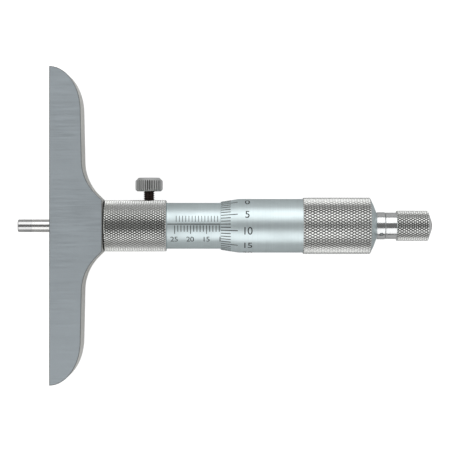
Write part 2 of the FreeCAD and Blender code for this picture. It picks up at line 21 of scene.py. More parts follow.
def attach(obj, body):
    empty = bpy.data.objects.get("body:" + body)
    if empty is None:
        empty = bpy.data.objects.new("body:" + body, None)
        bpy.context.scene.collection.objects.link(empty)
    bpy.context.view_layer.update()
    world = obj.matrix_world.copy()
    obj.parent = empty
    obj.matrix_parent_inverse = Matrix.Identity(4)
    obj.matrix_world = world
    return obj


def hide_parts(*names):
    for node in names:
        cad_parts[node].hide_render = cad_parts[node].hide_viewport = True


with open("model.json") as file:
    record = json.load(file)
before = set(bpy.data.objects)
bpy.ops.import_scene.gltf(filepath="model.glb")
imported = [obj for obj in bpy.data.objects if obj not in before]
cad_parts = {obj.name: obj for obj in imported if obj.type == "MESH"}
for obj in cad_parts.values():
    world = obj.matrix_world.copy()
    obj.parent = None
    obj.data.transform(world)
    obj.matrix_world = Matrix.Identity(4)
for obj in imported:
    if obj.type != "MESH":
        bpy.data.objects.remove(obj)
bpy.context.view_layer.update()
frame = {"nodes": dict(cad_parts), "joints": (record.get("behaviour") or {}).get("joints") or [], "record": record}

MM = 0.001
nodes = frame["nodes"]

# %% [markdown]
# ## Small tools for node trees
# Both the shapes and the finishes below are node trees built by code. A node's input takes either a
# plain value or a link from another node, so one helper decides which it got, and the trees then
# read almost like formulas.


# %% Node tree helpers
def feed(tree, socket, value):
    """Gives an input a value, or links it to another node's output."""
    if isinstance(value, bpy.types.NodeSocket):
        tree.links.new(value, socket)
    else:
        socket.default_value = value


def add(tree, kind, feeds=None, **settings):
    """A new node with its settings, and its inputs fed by name or by number."""
    made = tree.nodes.new(kind)
    for name, value in settings.items():
        setattr(made, name, value)
    for name, value in (feeds or {}).items():
        feed(tree, made.inputs[name], value)
    return made


def maths(tree, operation, *values, clamp=False):
    """One Math node, as its output."""
    made = add(tree, "ShaderNodeMath", operation=operation, use_clamp=clamp)
    for socket, value in zip(made.inputs, values):
        feed(tree, socket, value)
    return made.outputs[0]


def vector(tree, x=0.0, y=0.0, z=0.0):
    return add(tree, "ShaderNodeCombineXYZ", {"X": x, "Y": y, "Z": z}).outputs[0]


def apart(tree, value):
    """The x, y and z outputs of a vector."""
    return add(tree, "ShaderNodeSeparateXYZ", {0: value}).outputs


def new_tree(name, kind, inputs, outputs):
    """A node tree with named inputs, each as name=(type, default), and its two end nodes."""
    tree = bpy.data.node_groups.new(name, kind)
    for label, (form, default) in inputs.items():
        socket = tree.interface.new_socket(label, in_out="INPUT", socket_type="NodeSocket" + form)
        if default is not None:
            socket.default_value = default
    for label, form in outputs.items():
        tree.interface.new_socket(label, in_out="OUTPUT", socket_type="NodeSocket" + form)
    return tree, tree.nodes.new("NodeGroupInput").outputs, tree.nodes.new("NodeGroupOutput").inputs


def grown(tree, name, start=None, **inputs):
    """Runs a geometry tree with these inputs and returns the result as a plain mesh."""
    holder = bpy.data.objects.new(name, start or bpy.data.meshes.new(name))
    bpy.context.scene.collection.objects.link(holder)
    modifier = holder.modifiers.new(name, "NODES")
    modifier.node_group = tree
    sockets = {item.name: item.identifier for item in tree.interface.items_tree if item.in_out == "INPUT"}
    for label, value in inputs.items():
        modifier[sockets[label.replace("_", " ")]] = value
    ready = holder.evaluated_get(bpy.context.evaluated_depsgraph_get())
    mesh = bpy.data.meshes.new_from_object(ready)
    bpy.data.objects.remove(holder)
    return mesh


# %% [markdown]
# ## Finishes
# Nearly everything here is steel or chrome, so the differences between pieces are small: how rough
# the surface is, which way the cutting or grinding lines run, and how hands have worn it. Those
# three effects are shader groups, each built once and placed in every material that shows them.
#
# A turned or ground surface carries very fine lines in the direction the tool moved. Noise stretched
# along that direction gives them, once as a tiny bump and once as a slight change of tone.


# %% Shader group: lines left by the tool
def tool_lines_group():
    tree, given, out = new_tree(
        "Tool lines", "ShaderNodeTree",
        {"Stretch": ("Vector", (4000.0, 60.0, 60.0))},
        {"Height": "Float", "Tone": "Float"})
    place = add(tree, "ShaderNodeTexCoord").outputs["Object"]
    along = add(tree, "ShaderNodeVectorMath", {0: place, 1: given["Stretch"]}, operation="MULTIPLY")
    fine = add(tree, "ShaderNodeTexNoise", {"Vector": along.outputs[0], "Scale": 1.0, "Detail": 3.0})
    tone = add(tree, "ShaderNodeMapRange", {"Value": fine.outputs["Fac"], 1: 0.25, 2: 0.75, 3: 0.0, 4: 1.0})
    feed(tree, out["Height"], fine.outputs["Fac"])
    feed(tree, out["Tone"], tone.outputs[0])
    return tree


TOOL_LINES = tool_lines_group()
print("shader group:", TOOL_LINES.name)

# %% [markdown]
# Handling leaves broad, soft blotches that are a little duller. They come from large noise.


# %% Shader group: handling
def handling_group():
    tree, given, out = new_tree(
        "Handling", "ShaderNodeTree",
        {"Blotch size": ("Float", 0.012)},
        {"Dull": "Float"})
    place = add(tree, "ShaderNodeTexCoord").outputs["Object"]
    broad = add(tree, "ShaderNodeTexNoise", {
        "Vector": place, "Scale": maths(tree, "DIVIDE", 1.0, given["Blotch size"]), "Detail": 4.0})
    dull = add(tree, "ShaderNodeMapRange", {"Value": broad.outputs["Fac"], 1: 0.4, 2: 0.7, 3: 0.0, 4: 1.0})
    feed(tree, out["Dull"], dull.outputs[0])
    return tree


HANDLING = handling_group()
print("shader group:", HANDLING.name)

# %% [markdown]
# Oil and dust stay in the bottom of a knurl while the tops are rubbed bright, and the valleys also
# lie in shade, so one near-black colour there is both dirt and painted shade. The knurl's geometry
# stores how high each point lies as an attribute called relief, so this group only has to read it.


# %% Shader group: dirt and painted shade in the relief
def relief_group():
    tree, given, out = new_tree(
        "Valley shade and dirt", "ShaderNodeTree",
        {"Clean": ("Color", (0.7, 0.7, 0.7, 1.0)), "Dirt and shade": ("Color", (0.1, 0.1, 0.1, 1.0))},
        {"Color": "Color"})
    height = add(tree, "ShaderNodeAttribute", attribute_name="relief").outputs["Fac"]
    # the low parts go to the dark colour: dirt, and painted shade for the valleys' shadow
    top = add(tree, "ShaderNodeMapRange", {"Value": height, 1: 0.08, 2: 0.6, 3: 0.0, 4: 1.0}).outputs[0]
    mixed = add(tree, "ShaderNodeMix", {"Factor": top, 6: given["Dirt and shade"], 7: given["Clean"]},
                data_type="RGBA")
    feed(tree, out["Color"], mixed.outputs[2])
    return tree


RELIEF = relief_group()
print("shader group:", RELIEF.name)

# %% [markdown]
# One function then makes a metal from a colour, a roughness and the direction of its tool lines.
# The colour is darkened slightly in the dull blotches, roughness rises there, and the lines feed
# both the roughness and a faint bump.

# %% A metal
ROUND_LINES = (5200.0, 90.0, 90.0)      # lines run round the rod's axis, so they change along X
CLAMP_LINES = (90.0, 5200.0, 90.0)      # the same round the clamp screw's axis


def shade(color, share):
    """A colour times a share, opaque."""
    return (color[0] * share, color[1] * share, color[2] * share, 1.0)


def metal(name, color, roughness, lines, depth=0.000002, streak=0.05, dull=0.12, dirt_and_shade=None):
    material = bpy.data.materials.new("finish_" + name)
    material.use_nodes = True
    tree = material.node_tree
    surface = tree.nodes["Principled BSDF"]
    tool = add(tree, "ShaderNodeGroup", {"Stretch": lines}, node_tree=TOOL_LINES)
    hands = add(tree, "ShaderNodeGroup", node_tree=HANDLING)

    fresh = add(tree, "ShaderNodeMix", {
        "Factor": tool.outputs["Tone"], 6: shade(color, 1 - streak), 7: shade(color, 1 + streak)},
        data_type="RGBA")
    worn = add(tree, "ShaderNodeMix", {
        "Factor": hands.outputs["Dull"], 6: fresh.outputs[2], 7: shade(color, 1 - dull)}, data_type="RGBA")
    paint = worn.outputs[2]
    # knurled and fluted metals get their low parts darkened: dirt and painted shade together
    if dirt_and_shade:
        relief = add(tree, "ShaderNodeGroup", {"Clean": paint, "Dirt and shade": (*dirt_and_shade, 1.0)}, node_tree=RELIEF)
        paint = relief.outputs["Color"]
    tree.links.new(paint, surface.inputs["Base Color"])

    rough = maths(tree, "MULTIPLY_ADD", tool.outputs["Tone"], 0.08, roughness - 0.04)
    rough = maths(tree, "MULTIPLY_ADD", hands.outputs["Dull"], 0.07, rough)
    tree.links.new(rough, surface.inputs["Roughness"])
    surface.inputs["Metallic"].default_value = 1.0

    bump = add(tree, "ShaderNodeBump", {"Strength": 0.5, "Distance": depth, "Height": tool.outputs["Height"]})
    tree.links.new(bump.outputs[0], surface.inputs["Normal"])
    return material


MATERIALS = {
    "ground_base": metal("ground_base", (0.60, 0.665, 0.705), 0.42, (90.0, 2600.0, 90.0)),
    "satin_chrome": metal("satin_chrome", (0.695, 0.785, 0.80), 0.41, ROUND_LINES),
    "bright_chrome": metal("bright_chrome", (0.78, 0.79, 0.795), 0.13, ROUND_LINES),
    # the knurled and fluted metals carry a near-black colour in their valleys: dirt, and painted shade
    "knurled_chrome": metal("knurled_chrome", (0.80, 0.81, 0.795), 0.22, ROUND_LINES,
                            dirt_and_shade=(0.06, 0.058, 0.052)),
    "fluted_steel": metal("fluted_steel", (0.70, 0.71, 0.705), 0.30, CLAMP_LINES, dirt_and_shade=(0.14, 0.14, 0.135)),
    "ground_rod": metal("ground_rod", (0.74, 0.735, 0.72), 0.16, ROUND_LINES),
    "lapped_tip": metal("lapped_tip", (0.62, 0.62, 0.62), 0.18, ROUND_LINES),
    # painted light: a paler copy of the base's steel for its sides, where the lamps catch them
    "milled_side_painted_light": metal("milled_side_painted_light", (0.88, 0.885, 0.85), 0.38, (90.0, 90.0, 2600.0)),
    # painted shade: a darker copy of the base's steel for its narrow edge slopes
    "edge_break_painted_shade": metal("edge_break_painted_shade", (0.30, 0.32, 0.33), 0.40, (90.0, 2600.0, 90.0)),
    # painted shade: a near-black copy of the steel for the hub's narrow groove, standing in for the shadow in it
    "groove_painted_shade": metal("groove_painted_shade", (0.05, 0.05, 0.05), 0.55, ROUND_LINES),
    "plain_steel": metal("plain_steel", (0.50, 0.51, 0.52), 0.32, ROUND_LINES),
    "spring_wire": metal("spring_wire", (0.36, 0.36, 0.38), 0.30, ROUND_LINES),
    "browned_steel": metal("browned_steel", (0.10, 0.075, 0.07), 0.34, CLAMP_LINES),
    "bronze": metal("bronze", (0.50, 0.36, 0.20), 0.30, ROUND_LINES),
    "brass": metal("brass", (0.62, 0.47, 0.22), 0.28, CLAMP_LINES),
}
print(len(MATERIALS), "metals")

# %% [markdown]
# Engraved lines and figures are filled with black paint, which is matt and hides the metal.


# %% Engraving paint
def engraving_paint():
    material = bpy.data.materials.new("engraving_paint")
    material.use_nodes = True
    tree = material.node_tree
    surface = tree.nodes["Principled BSDF"]
    hands = add(tree, "ShaderNodeGroup", node_tree=HANDLING)
    mixed = add(tree, "ShaderNodeMix", {
        "Factor": hands.outputs["Dull"], 6: (0.010, 0.010, 0.011, 1), 7: (0.03, 0.03, 0.032, 1)},
        data_type="RGBA")
    tree.links.new(mixed.outputs[2], surface.inputs["Base Color"])
    surface.inputs["Roughness"].default_value = 0.6
    surface.inputs["Specular IOR Level"].default_value = 0.25
    return material


PAINT = engraving_paint()

# %% [markdown]
# ## Reading a turned piece's section
# A turned piece is fully described by half its section. The frame already holds each piece as a
# faceted mesh, so a cut through that mesh along the axis gives the section back: the mesh is sewn
# together, bisected by the plane, and the edges left in the plane are walked in order. Facets cut
# between their corners come out slightly small, so each corner is set to the nearest true ring.

# %% Reading a section
SAME = 0.002 * MM           # corners closer than this are one
FACET = 0.05 * MM           # the most that a facet can undercut its true radius


def sewn(node, place=Matrix()):
    """A CAD node's mesh with its loose triangles sewn together, moved by a matrix."""
    form = bmesh.new()
    form.from_mesh(nodes[node].data)
    form.transform(place)
    bmesh.ops.remove_doubles(form, verts=form.verts, dist=0.0005 * MM)
    return form


def section(node, degrees, place=Matrix()):
    """Corners (along, radius) of a turned node's section, cut at an angle from +Z towards +Y."""
    form = sewn(node, place)
    rings = {}
    for vert in form.verts:
        rings.setdefault(round(vert.co.x / SAME), set()).add(math.hypot(vert.co.y, vert.co.z))
    turn = math.radians(degrees)
    outward = Vector((0, math.sin(turn), math.cos(turn)))
    across = Vector((0, math.cos(turn), -math.sin(turn)))
    for normal, both in ((outward, False), (across, True)):
        bmesh.ops.bisect_plane(form, geom=form.verts[:] + form.edges[:] + form.faces[:], dist=1e-9,
                               plane_co=(0, 0, 0), plane_no=normal, clear_inner=True, clear_outer=both)
    ends = [vert for vert in form.verts if len(vert.link_edges) == 1]
    start = min(ends or form.verts, key=lambda vert: vert.co.x)
    walk, last = [start], None
    while True:
        onward = [edge for edge in walk[-1].link_edges if edge is not last]
        if not onward or (len(walk) > 1 and walk[-1] is start):
            break
        last = onward[0]
        walk.append(last.other_vert(walk[-1]))
    corners = []
    for vert in walk if ends else walk[:-1]:
        along, radius = vert.co.x, vert.co.dot(outward)
        near = [ring for key in (-1, 0, 1) for ring in rings.get(round(along / SAME) + key, ())
                if abs(ring - radius) < FACET]
        if near or radius < SAME:
            corner = (along, max(near, default=0.0))
            if not corners or math.dist(corner, corners[-1]) > SAME:
                corners.append(corner)
    form.free()
    return straightened(corners, closed=not ends)


def straightened(corners, closed):
    """Leaves out the corners that lie on a straight line between their neighbours."""
    kept = []
    for index, corner in enumerate(corners):
        before = kept[-1] if kept else corners[-1]
        after = corners[(index + 1) % len(corners)]
        run, rise = after[0] - before[0], after[1] - before[1]
        off = abs(run * (corner[1] - before[1]) - rise * (corner[0] - before[0])) / (math.hypot(run, rise) or 1)
        if off > SAME / 2 or not closed and index in (0, len(corners) - 1):
            kept.append(corner)
    return kept


print("outer sleeve's section in mm:",
      [(round(x / MM, 2), round(r / MM, 3)) for x, r in section("outer_sleeve", 60)])

# %% [markdown]
# ## Turning
# The section goes back on the lathe with far more steps round the axis than the CAD mesh has. On the
# real pieces every sharp corner is broken with a file or a stone, and that hair-thin edge is what
# catches the light, so each corner is rounded over a few hundredths of a millimetre first.

# %% Turning a section
EDGE_BREAK = 0.06 * MM
ROUND_STEPS = 4
TURN_STEPS = 160


def broken(corners, closed, size=EDGE_BREAK):
    """Rounds the corners of a section where they turn by more than 20 degrees."""
    rounded = []
    for index, corner in enumerate(corners):
        if not closed and index in (0, len(corners) - 1) or corner[1] < SAME:
            rounded.append(corner)
            continue
        here = Vector(corner)
        back = Vector(corners[index - 1]) - here
        ahead = Vector(corners[(index + 1) % len(corners)]) - here
        if math.pi - back.angle(ahead) < math.radians(20):
            rounded.append(corner)
            continue
        reach = min(size, back.length * 0.4, ahead.length * 0.4)
        start, end = here + back.normalized() * reach, here + ahead.normalized() * reach
        for step in range(ROUND_STEPS + 1):
            share = step / ROUND_STEPS
            rounded.append(tuple(start * (1 - share) ** 2 + here * 2 * share * (1 - share) + end * share ** 2))
    return rounded


def even_angles(steps):
    return [2 * math.pi * step / steps for step in range(steps)]


def turned(corners, closed, angles=None):
    """A mesh of revolution about X through corners (along, radius), stepped at the given angles."""
    angles = angles or even_angles(TURN_STEPS)
    form = bmesh.new()
    rings = []
    for along, radius in corners:
        if radius < SAME:
            rings.append([form.verts.new((along, 0, 0))] * len(angles))
        else:
            rings.append([form.verts.new((along, radius * math.sin(a), radius * math.cos(a))) for a in angles])
    pairs = list(zip(rings, rings[1:])) + ([(rings[-1], rings[0])] if closed else [])
    for ring, following in pairs:
        for k in range(len(angles)):
            corners_of_face = [ring[k], ring[k - 1], following[k - 1], following[k]]
            form.faces.new(list(dict.fromkeys(corners_of_face)))
    return form


# %% [markdown]
# A finished mesh gets its doubles merged and its faces turned outwards, then smooth shading with
# sharp edges kept. Each piece prints how many triangles it has and whether any edge is left open.

# %% Finishing a piece
SHARP = math.radians(32)


def finished(form, name, metals, body, slot, *replaced, sharp=SHARP):
    """Makes a piece from a bmesh: closed, facing outwards, shaded, riding on its body."""
    bmesh.ops.remove_doubles(form, verts=form.verts, dist=SAME / 2)
    bmesh.ops.dissolve_degenerate(form, edges=form.edges, dist=SAME / 4)
    bmesh.ops.recalc_face_normals(form, faces=form.faces)
    if form.calc_volume(signed=True) < 0:
        bmesh.ops.reverse_faces(form, faces=form.faces)
    open_edges = sum(1 for edge in form.edges if len(edge.link_faces) != 2)
    triangles = sum(len(face.verts) - 2 for face in form.faces)
    for face in form.faces:
        face.smooth = True
    for edge in form.edges:
        edge.smooth = edge.calc_face_angle(0.0) < sharp
    mesh = bpy.data.meshes.new(name)
    form.to_mesh(mesh)
    form.free()
    for metal_used in metals:
        mesh.materials.append(metal_used)
    piece = bpy.data.objects.new(name, mesh)
    bpy.context.scene.collection.objects.link(piece)
    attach(piece, body)
    if replaced:
        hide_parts(*replaced)
    print(f"{name}: {triangles} triangles, {open_edges} open edges")
    return piece


# %% [markdown]
# ## The plain turned pieces
# The scale's sleeve, the rod and its hard-metal tip, and the end screw need nothing but a clean
# turning. The sections are read on a side where no slot or hole crosses them.

# %% Plain turned pieces
PLAIN_SIDE = 90             # degrees from +Z towards +Y

finished(turned(broken(section("outer_sleeve", PLAIN_SIDE), True), True), "scale_sleeve",
         [MATERIALS["satin_chrome"]], "frame", "satin_chrome", "outer_sleeve")
finished(turned(broken(section("spindle", PLAIN_SIDE), False, 0.02 * MM), False), "rod",
         [MATERIALS["ground_rod"]], "rod", "ground_steel", "spindle")
finished(turned(broken(section("measuring_tip", PLAIN_SIDE), False, 0.04 * MM), False), "rod_tip",
         [MATERIALS["lapped_tip"]], "rod", "hard_metal", "measuring_tip")
finished(turned(broken(section("ratchet_end_screw", PLAIN_SIDE), False), False), "end_screw",
         [MATERIALS["browned_steel"]], "thimble_group", "browned_steel", "ratchet_end_screw")

# %% [markdown]
# ## Diamond knurls
# A knurling tool presses two crossing sets of grooves into the metal and leaves rows of small
# pyramids. Each row stands half a pyramid round from the last. So one pyramid is built, it is set
# out in rows on a flat strip, and the strip is then wrapped round the axis. The pyramid's point is
# cut off a little, because a knurl is never pressed to a full point. The strip ends in the middle
# of a row, where a lathe tool has chamfered the knurl down to the depth of its grooves.

# %% Node group: wrap a flat strip round the axis
def wrap_group():
    """Flat (along, round, height) to a place at radius + slope * (along - start) + height."""
    tree, given, out = new_tree(
        "Wrap round the rod", "GeometryNodeTree",
        {"Mesh": ("Geometry", None), "Radius": ("Float", 0.005), "Slope": ("Float", 0.0),
         "Start": ("Float", 0.0)},
        {"Mesh": "Geometry"})
    flat = apart(tree, add(tree, "GeometryNodeInputPosition").outputs[0])
    turn = maths(tree, "DIVIDE", flat["Y"], given["Radius"])
    grown_radius = maths(tree, "MULTIPLY_ADD", maths(tree, "SUBTRACT", flat["X"], given["Start"]),
                         given["Slope"], given["Radius"])
    radius = maths(tree, "ADD", grown_radius, flat["Z"])
    place = vector(tree, flat["X"], maths(tree, "MULTIPLY", radius, maths(tree, "SINE", turn)),
                   maths(tree, "MULTIPLY", radius, maths(tree, "COSINE", turn)))
    bent = add(tree, "GeometryNodeSetPosition", {"Geometry": given["Mesh"], "Position": place})
    feed(tree, out["Mesh"], bent.outputs[0])
    return tree


WRAP = wrap_group()


def wrapped(tree, mesh, radius, slope=0.0, start=0.0):
    return add(tree, "GeometryNodeGroup", {"Mesh": mesh, "Radius": radius, "Slope": slope, "Start": start},
               node_tree=WRAP).outputs[0]


# %% Node tree: a band of diamond knurl
def knurl_tree():
    tree, given, out = new_tree(
        "Diamond knurl", "GeometryNodeTree",
        {"Starts": ("Int", 60), "Rows": ("Int", 12), "Radius": ("Float", 0.008), "Start": ("Float", 0.0),
         "Pitch": ("Float", 0.0015), "Chamfer": ("Float", 0.0003), "Depth": ("Float", 0.00025),
         "Land": ("Float", 0.3), "Material": ("Material", None)},
        {"Mesh": "Geometry"})
    width = maths(tree, "DIVIDE", maths(tree, "MULTIPLY", given["Radius"], 2 * math.pi), given["Starts"])
    first = maths(tree, "ADD", given["Start"], given["Chamfer"])
    last = maths(tree, "MULTIPLY_ADD", given["Rows"], given["Pitch"], first)

    # one pyramid: a diamond drawn up and narrowed to its land
    diamond = add(tree, "GeometryNodeMeshCircle", {"Vertices": 4, "Radius": 0.5}, fill_type="TRIANGLE_FAN")
    raised = add(tree, "GeometryNodeExtrudeMesh", {
        "Mesh": diamond.outputs[0], "Offset": vector(tree, 0, 0, 1), "Offset Scale": 1.0, "Individual": False},
        mode="FACES")
    pyramid = add(tree, "GeometryNodeScaleElements", {
        "Geometry": raised.outputs["Mesh"], "Selection": raised.outputs["Top"], "Scale": given["Land"]})

    # its places: whole rows and the rows between them, half a pyramid round
    count = maths(tree, "MULTIPLY", given["Starts"], maths(tree, "MULTIPLY_ADD", given["Rows"], 2.0, 1.0))
    index = add(tree, "GeometryNodeInputIndex").outputs[0]
    row = maths(tree, "FLOOR", maths(tree, "DIVIDE", maths(tree, "ADD", index, 0.5), given["Starts"]))
    column = maths(tree, "SUBTRACT", index, maths(tree, "MULTIPLY", row, given["Starts"]))
    round_ = maths(tree, "MULTIPLY_ADD", maths(tree, "MODULO", row, 2.0), 0.5, column)
    place = vector(tree, maths(tree, "MULTIPLY_ADD", row, maths(tree, "MULTIPLY", given["Pitch"], 0.5), first),
                   maths(tree, "MULTIPLY", round_, width), 0.0)
    points = add(tree, "GeometryNodePoints", {"Count": count, "Position": place})
    set_out = add(tree, "GeometryNodeInstanceOnPoints", {
        "Points": points.outputs[0], "Instance": pyramid.outputs[0],
        "Scale": vector(tree, given["Pitch"], width, given["Depth"])})
    strip = add(tree, "GeometryNodeRealizeInstances", {"Geometry": set_out.outputs[0]}).outputs[0]

    # the ends are cut through the middle of a row, then drawn out flat to the grooves' depth
    along = apart(tree, add(tree, "GeometryNodeInputPosition").outputs[0])["X"]
    beyond = maths(tree, "ADD", maths(tree, "LESS_THAN", along, first),
                   maths(tree, "GREATER_THAN", along, last))
    cut = add(tree, "GeometryNodeDeleteGeometry", {"Geometry": strip, "Selection": beyond}, domain="FACE")
    sewn_up = add(tree, "GeometryNodeMergeByDistance", {"Geometry": cut.outputs[0], "Distance": SAME})
    band = sewn_up.outputs[0]
    for limit, compare, shift in ((first, "LESS_THAN", -1.0), (last, "GREATER_THAN", 1.0)):
        edge_along = apart(tree, add(tree, "GeometryNodeInputPosition").outputs[0])["X"]
        margin = maths(tree, "MULTIPLY_ADD", given["Pitch"], -0.05 * shift, limit)
        at_end = maths(tree, compare, edge_along, margin)
        drawn = add(tree, "GeometryNodeExtrudeMesh", {
            "Mesh": band, "Selection": at_end, "Offset Scale": 1.0,
            "Offset": vector(tree, maths(tree, "MULTIPLY", given["Chamfer"], shift))}, mode="EDGES")
        spot = apart(tree, add(tree, "GeometryNodeInputPosition").outputs[0])
        flat = add(tree, "GeometryNodeSetPosition", {
            "Geometry": drawn.outputs["Mesh"], "Selection": drawn.outputs["Top"],
            "Position": vector(tree, spot["X"], spot["Y"], 0.0)})
        band = flat.outputs[0]

    height = apart(tree, add(tree, "GeometryNodeInputPosition").outputs[0])["Z"]
    kept = add(tree, "GeometryNodeStoreNamedAttribute", {
        "Geometry": band, "Name": "relief", "Value": maths(tree, "DIVIDE", height, given["Depth"])},
        data_type="FLOAT", domain="POINT")
    floor_radius = maths(tree, "SUBTRACT", given["Radius"], given["Depth"])
    round_turn = add(tree, "GeometryNodeSetPosition", {
        "Geometry": kept.outputs[0],
        "Offset": vector(tree, 0.0, maths(
            tree, "MULTIPLY", apart(tree, add(tree, "GeometryNodeInputPosition").outputs[0])["Y"],
            maths(tree, "SUBTRACT", maths(tree, "DIVIDE", floor_radius, given["Radius"]), 1.0)), 0.0)})
    bent = wrapped(tree, round_turn.outputs[0], floor_radius)
    closed = add(tree, "GeometryNodeMergeByDistance", {"Geometry": bent, "Distance": SAME})
    finish = add(tree, "GeometryNodeSetMaterial", {
        "Geometry": closed.outputs[0], "Material": given["Material"]})
    feed(tree, out["Mesh"], finish.outputs[0])
    return tree


KNURL = knurl_tree()
print("node trees:", WRAP.name, "and", KNURL.name)

# %% [markdown]
# The rest of a knurled piece is turned as before, but its lathe steps are set at the very angles at
# which the knurl's end ring has its corners. The two meshes then share those corners and sew
# together into one closed skin.

# %% Putting a knurl on a turned piece
LAND = 0.30                 # share of a pyramid's width left flat on top


def knurl_angles(starts):
    share = 2 * math.pi / starts
    return [(k + part) * share for k in range(starts) for part in (-LAND / 2, 0.0, LAND / 2, 0.5)]


def without_band(corners, start, end, floor):
    """An open chain of corners that leaves a gap in the outer surface for a band."""
    inside = [start - SAME < x < end + SAME and r > floor + SAME for x, r in corners]
    count = len(corners)
    first = next(i for i in range(count) if inside[i - 1] and not inside[i])
    chain = [corners[(first + i) % count] for i in range(count) if not inside[(first + i) % count]]
    ends = [(start, floor), (end, floor)]
    if math.dist(chain[0], ends[0]) < math.dist(chain[0], ends[1]):
        ends.reverse()
    chain = [corner for corner in chain if min(math.dist(corner, end_ring) for end_ring in ends) > SAME]
    return [ends[1], *chain, ends[0]] if math.dist(chain[0], ends[1]) < math.dist(chain[0], ends[0]) \
        else [ends[0], *chain, ends[1]]


def knurled(corners, start, end, radius, depth, chamfer, starts, rows, metal_of_band):
    """A bmesh of a turned piece whose outer surface carries a knurl from start to end."""
    plain = without_band(corners, start, end, radius - depth)
    shell = turned(broken(plain, False), False, knurl_angles(starts))
    layer = shell.verts.layers.float.new("relief")
    for vert in shell.verts:
        vert[layer] = 1.0
    band = grown(KNURL, "band", Starts=starts, Rows=rows, Radius=radius, Start=start,
                 Pitch=(end - start - 2 * chamfer) / rows, Chamfer=chamfer, Depth=depth, Land=LAND,
                 Material=metal_of_band)
    plain_faces = len(shell.faces)
    shell.from_mesh(band)
    shell.faces.ensure_lookup_table()
    for face in shell.faces[plain_faces:]:
        face.material_index = 1
    return shell


# %% [markdown]
# The thimble's grip, the hub and the ratchet knob are all knurled. A thimble of this size has about
# sixty teeth round it, and the small knob thirty-five.

# %% The thimble
thimble = knurled(section("thimble", PLAIN_SIDE), 79.62 * MM, 100.97 * MM, 8.929 * MM, 0.25 * MM, 0.25 * MM,
                  60, 12, MATERIALS["knurled_chrome"])
finished(thimble, "thimble_dressed", [MATERIALS["satin_chrome"], MATERIALS["knurled_chrome"]],
         "thimble_group", "satin_chrome", "thimble")

# %% [markdown]
# Two pieces also have holes drilled after turning: the hub for the clamp screw, and the collar for
# the small spanner that sets zero. The knob has two keyways inside for its sliding ratchet ring. A
# Boolean cut does what the drill and the slotting tool do.

# %% Cutting holes and keyways
def as_object(form, name, metals=()):
    mesh = bpy.data.meshes.new(name)
    form.to_mesh(mesh)
    form.free()
    for metal_used in metals:
        mesh.materials.append(metal_used)
    made = bpy.data.objects.new(name, mesh)
    bpy.context.scene.collection.objects.link(made)
    return made


def drill(centre, axis, radius, length, steps=48):
    """A cylinder about an axis, as an object to cut with."""
    form = bmesh.new()
    place = Matrix.Translation(centre) @ Vector(axis).to_track_quat("Z", "Y").to_matrix().to_4x4()
    bmesh.ops.create_cone(form, cap_ends=True, segments=steps, radius1=radius, radius2=radius, depth=length,
                          matrix=place)
    return as_object(form, "drill")


def slotting_tool(low, high):
    """A box from one corner to the other, as an object to cut with."""
    form = bmesh.new()
    low, high = Vector(low), Vector(high)
    place = Matrix.Translation((low + high) / 2) @ Matrix.Diagonal((*(high - low), 1.0))
    bmesh.ops.create_cube(form, size=1.0, matrix=place)
    return as_object(form, "slotting_tool")


def cut_away(form, cutter, metals):
    """The bmesh less the cutter, which is used up. The metals keep the faces' material numbers."""
    bmesh.ops.remove_doubles(form, verts=form.verts, dist=SAME / 2)
    bmesh.ops.recalc_face_normals(form, faces=form.faces)
    work = as_object(form, "work", metals)
    modifier = work.modifiers.new("cut", "BOOLEAN")
    modifier.operation, modifier.solver, modifier.object = "DIFFERENCE", "EXACT", cutter
    ready = work.evaluated_get(bpy.context.evaluated_depsgraph_get())
    left = bmesh.new()
    left.from_mesh(ready.to_mesh())
    ready.to_mesh_clear()
    for used in (work, cutter):
        bpy.data.objects.remove(used)
    return left


# %% The hub
CLAMP_X = next(joint for joint in frame["joints"] if joint["name"] == "clamp_turn")["pos_m"][0]
GROOVE = (16.45 * MM, 16.95 * MM)   # where the dark groove at the base begins and ends
GROOVE_RADIUS = 7.83 * MM   # its faces lie inside this
KNURLED = [MATERIALS["satin_chrome"], MATERIALS["knurled_chrome"]]
hub = knurled(section("hub", -90), 16.9 * MM, 36.5 * MM, 8.125 * MM, 0.3 * MM, 0.3 * MM, 60, 13,
              MATERIALS["knurled_chrome"])
hub = cut_away(hub, drill((CLAMP_X, 7 * MM, 0), (0, 1, 0), 1.8 * MM, 8 * MM), KNURLED)
# the groove's faces get the near-black metal, which is painted shade for the shadow deep in the groove
for face in hub.faces:
    middle = face.calc_center_median()
    if GROOVE[0] < middle.x < GROOVE[1] and math.hypot(middle.y, middle.z) < GROOVE_RADIUS:
        face.material_index = 2
finished(hub, "hub_dressed", [*KNURLED, MATERIALS["groove_painted_shade"]], "frame", "knurled_steel", "hub")

# %% The collar and the ratchet knob
spanner = next(mount for mount in frame["record"]["mounts"] if mount["name"] == "spanner_hole")
spanner_axis = Vector(spanner["axis"])
REACH = 1.0 * MM            # how far a drill runs out past the surface
bore_length = spanner["dims"]["length_mm"] * MM
collar = turned(broken(section("ratchet_body", PLAIN_SIDE), False, 0.04 * MM), False)
collar = cut_away(collar, drill(Vector(spanner["pos_m"]) + spanner_axis * REACH / 2, spanner_axis,
                                spanner["dims"]["r_mm"] * MM, bore_length + REACH), [MATERIALS["bright_chrome"]])
finished(collar, "collar", [MATERIALS["bright_chrome"]], "thimble_group", "bright_chrome", "ratchet_body")

